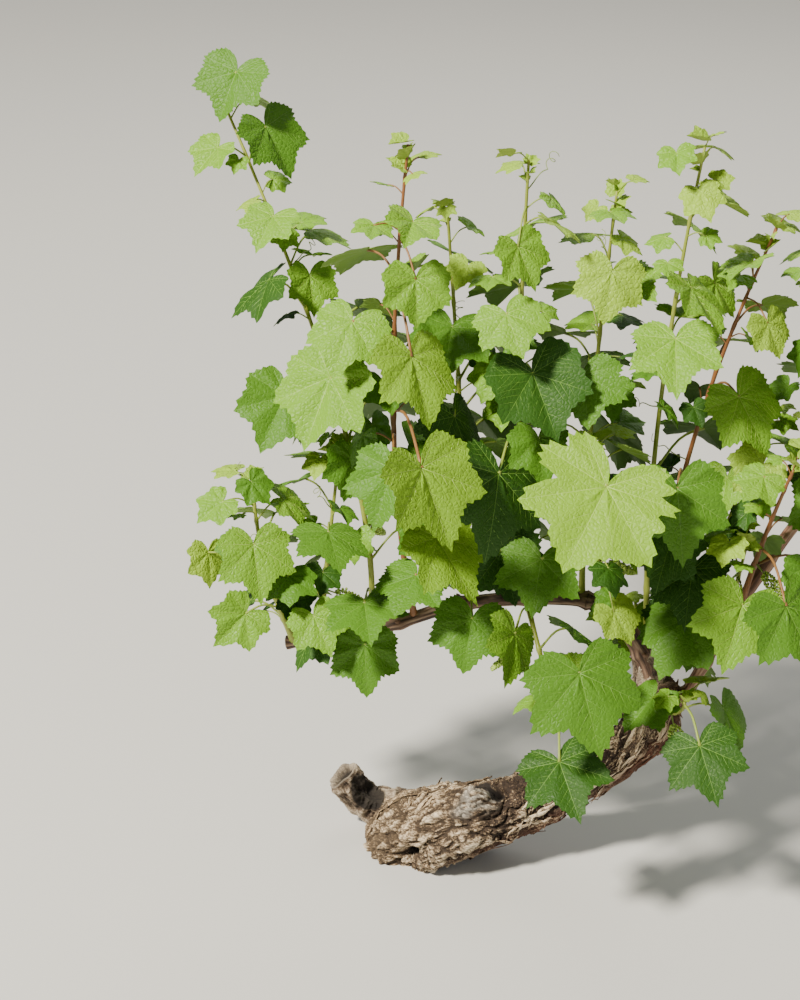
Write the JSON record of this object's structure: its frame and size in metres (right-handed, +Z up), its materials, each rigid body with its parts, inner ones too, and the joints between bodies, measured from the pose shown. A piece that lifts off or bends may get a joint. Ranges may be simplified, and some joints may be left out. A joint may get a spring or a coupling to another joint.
{
  "type": "grapevine",
  "caption": "Old low grapevine: a leaning gnarled trunk, a cane laid out to each side, and upright leafy shoots in late spring.",
  "frame": {"origin": "in the flat cut under the trunk, at ground level", "axes": "+X along the canes towards the right-hand cane's end, +Z up, the front of the vine faces -Y"},
  "size_m": [0.9576, 0.4593, 0.8802],
  "materials": {
    "trunk_bark": "shaggy grey-brown bark in twisted strips, with bleached wood at the old cuts",
    "dead_wood": "dark dead wood, rough, with grey cut faces",
    "cane_bark": "smooth striped brown cane bark, swollen at the nodes",
    "vine_leaves": "fresh green puckered leaves with pale veins, on green to red-brown shoots"
  },
  "bodies": {
    "root": {"trunk": "trunk_bark", "dead_stub": "dead_wood", "head_spur": "dead_wood", "left_arm": "cane_bark", "left_cane": "cane_bark", "right_cane": "cane_bark", "right_arch": "cane_bark", "shoot_left_1": "vine_leaves", "shoot_left_2": "vine_leaves", "shoot_left_3": "vine_leaves", "shoot_left_4": "vine_leaves", "shoot_left_5": "vine_leaves", "shoot_left_6": "vine_leaves", "shoot_left_7": "vine_leaves", "shoot_low_left": "vine_leaves", "shoot_low_right": "vine_leaves", "shoot_low_back": "vine_leaves", "shoot_head_1": "vine_leaves", "shoot_head_2": "vine_leaves", "shoot_head_3": "vine_leaves", "shoot_head_4": "vine_leaves", "shoot_right_1": "vine_leaves", "shoot_right_2": "vine_leaves", "shoot_right_3": "vine_leaves", "shoot_right_4": "vine_leaves", "shoot_right_5": "vine_leaves", "shoot_right_6": "vine_leaves"}
  },
  "joints": []
}
